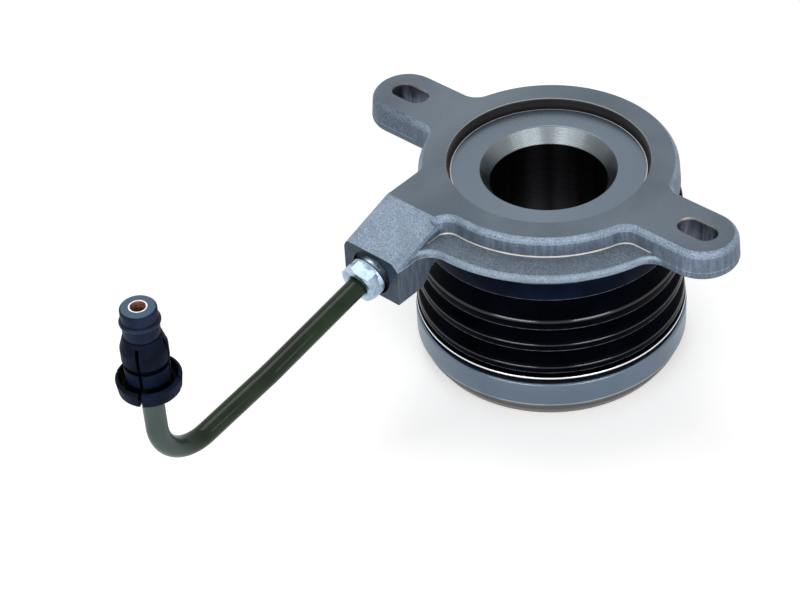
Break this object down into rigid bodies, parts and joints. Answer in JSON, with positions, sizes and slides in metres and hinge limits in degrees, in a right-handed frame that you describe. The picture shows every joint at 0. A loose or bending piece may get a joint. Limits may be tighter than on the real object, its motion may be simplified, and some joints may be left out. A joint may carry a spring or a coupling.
{
  "type": "concentric slave cylinder",
  "caption": "Annular hydraulic clutch release cylinder with slotted ears, a sliding release bearing under a rubber boot, and a rigid fluid pipe ending in a plug.",
  "frame": {"origin": "centre of the slot pattern on the mounting face, on the bore axis", "axes": "+Z out of the mounting face along the bore axis, X along the line of the ears, -Y towards the pipe boss"},
  "size_m": [0.1306, 0.1917, 0.0956],
  "materials": {
    "cast_aluminium": "bead blasted casting with machined faces",
    "turned_steel": "turned",
    "seal_rubber": "smooth",
    "spring_steel": "oiled",
    "piston_alloy": "machined",
    "band_plastic": "smooth",
    "pressed_steel": "pressed sheet",
    "boot_rubber": "glossy moulded rubber",
    "bright_steel": "polished edge",
    "bearing_steel": "satin ground",
    "release_steel": "hardened, brownish",
    "ball_steel": "polished",
    "cage_plastic": "moulded",
    "zinc_plate": "bright zinc plate",
    "coated_pipe": "glossy olive coating",
    "plug_plastic": "moulded",
    "collet_plastic": "moulded"
  },
  "bodies": {
    "housing": {"housing": "cast_aluminium", "guide_sleeve": "turned_steel", "sleeve_o_ring": "seal_rubber", "stop_ring": "spring_steel", "spring_seat": "pressed_steel", "preload_spring": "spring_steel", "dust_boot": "boot_rubber", "tube_nut": "zinc_plate", "fluid_pipe": "coated_pipe", "connector_nose": "plug_plastic", "connector_o_ring": "seal_rubber", "connector_collet": "collet_plastic"},
    "piston": {"piston": "piston_alloy", "piston_seal": "seal_rubber", "guide_band": "band_plastic", "boot_retaining_ring": "bright_steel", "bearing_carrier": "pressed_steel", "carrier_clip": "spring_steel", "bearing_outer_ring": "bearing_steel", "bearing_seal": "seal_rubber"},
    "release_ring": {"release_ring": "release_steel"},
    "ball_set": {"bearing_balls": "ball_steel", "bearing_cage": "cage_plastic"}
  },
  "joints": [
    {"name": "piston_slide", "type": "slide", "parent": "housing", "child": "piston", "axis": [0, 0, 1], "range_m": [0, 0.014], "stiffness_N_per_m": 1500, "springref_m": -0.03, "deforming": ["dust_boot", "preload_spring"]},
    {"name": "release_ring_spin", "type": "hinge", "parent": "piston", "child": "release_ring", "pos_m": [0, 0, -0.0554], "axis": [0, 0, 1], "continuous": true},
    {"name": "ball_set_spin", "type": "hinge", "parent": "piston", "child": "ball_set", "pos_m": [0, 0, -0.0554], "axis": [0, 0, 1], "continuous": true}
  ],
  "couplings": [
    {"joint": "ball_set_spin", "follows": "release_ring_spin", "ratio": 0.4583}
  ]
}
